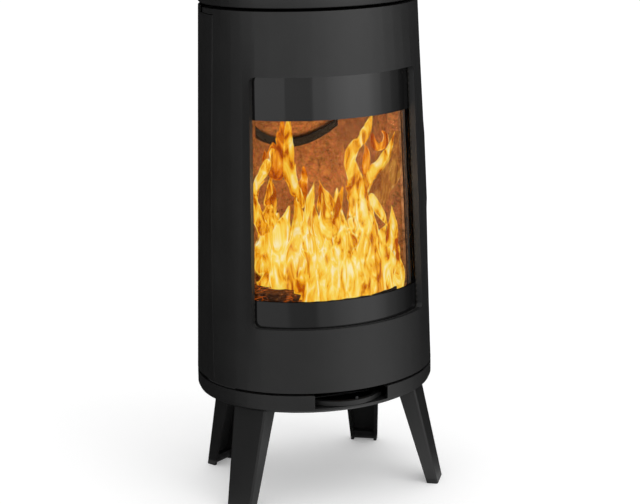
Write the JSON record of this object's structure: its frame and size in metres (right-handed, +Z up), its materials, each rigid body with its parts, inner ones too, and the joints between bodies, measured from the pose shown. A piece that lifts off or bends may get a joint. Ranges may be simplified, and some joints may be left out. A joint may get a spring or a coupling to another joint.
{
  "type": "wood stove",
  "caption": "Free-standing oval cast-iron wood stove on four splayed legs, with a curved glass door, side handle, sliding air control and top flue collar.",
  "frame": {"origin": "on the floor, in the middle of the body's footprint", "axes": "+Z up, -Y out of the door, +X to the right as seen from the front"},
  "size_m": [0.47, 0.4046, 1.006],
  "materials": {
    "cast_iron": "satin charcoal stove paint over fine-grained cast iron",
    "dark_iron": "matt black heat-resistant paint, sooty",
    "steel_sheet": "matt charcoal heat-resistant paint on folded steel",
    "bright_steel": "plain zinc-plated steel",
    "vermiculite": "pressed vermiculite board, brown and speckled, matt",
    "fire_brick": "fired chamotte brick, matt",
    "rope_seal": "woven glass-fibre rope, dark grey",
    "ceramic_glass": "clear ceramic glass, with glossy black enamel bands printed inside at the top and the bottom"
  },
  "bodies": {
    "stove_body": {"air_bar": "dark_iron", "air_valve_seat": "steel_sheet", "ash_pan": "steel_sheet", "baffle_board": "vermiculite", "base_casting": "cast_iron", "collar_bolt_1": "bright_steel", "collar_bolt_2": "bright_steel", "collar_bolt_3": "bright_steel", "firebox_body": "dark_iron", "firebox_top": "dark_iron", "floor_plate": "dark_iron", "flue_collar": "cast_iron", "grate": "dark_iron", "hearth_brick_left": "fire_brick", "hearth_brick_right": "fire_brick", "hearth_plate": "dark_iron", "hinge_bracket_upper": "steel_sheet", "hinge_pin_lower": "bright_steel", "hinge_pin_upper": "bright_steel", "latch_keeper": "steel_sheet", "leg_bolt_front_left": "bright_steel", "leg_bolt_front_right": "bright_steel", "leg_bolt_rear_left": "bright_steel", "leg_bolt_rear_right": "bright_steel", "leg_front_left": "cast_iron", "leg_front_right": "cast_iron", "leg_rear_left": "cast_iron", "leg_rear_right": "cast_iron", "liner_left": "vermiculite", "liner_rear": "vermiculite", "liner_right": "vermiculite", "log_guard": "dark_iron", "rear_panel": "steel_sheet", "side_panel_left": "cast_iron", "side_panel_right": "cast_iron", "top_plate": "cast_iron"},
    "door": {"door_shell": "cast_iron", "glass_seal": "rope_seal", "door_glass": "ceramic_glass", "door_inner_frame": "steel_sheet", "inner_frame_screw_1": "bright_steel", "inner_frame_screw_2": "bright_steel", "inner_frame_screw_3": "bright_steel", "inner_frame_screw_4": "bright_steel", "inner_frame_screw_5": "bright_steel", "inner_frame_screw_6": "bright_steel", "door_rope_seal": "rope_seal", "handle_pin": "bright_steel", "hinge_leaf_lower": "steel_sheet"},
    "handle": {"side_handle": "cast_iron"},
    "air_control": {"air_slide_plate": "steel_sheet", "air_control_pull": "cast_iron", "pull_screw_left": "bright_steel", "pull_screw_right": "bright_steel"}
  },
  "joints": [
    {"name": "door_hinge", "type": "hinge", "parent": "stove_body", "child": "door", "pos_m": [-0.218, 0.002, 0.24], "axis": [-0.0324, 0, -0.9995], "range_deg": [0, 110]},
    {"name": "handle_turn", "type": "hinge", "parent": "door", "child": "handle", "pos_m": [0.19675, -0.05148, 0.625], "axis": [0, 0, -1], "range_deg": [-20, 25]},
    {"name": "air_control_slide", "type": "slide", "parent": "stove_body", "child": "air_control", "axis": [0, -1, 0], "range_m": [0, 0.032]}
  ]
}
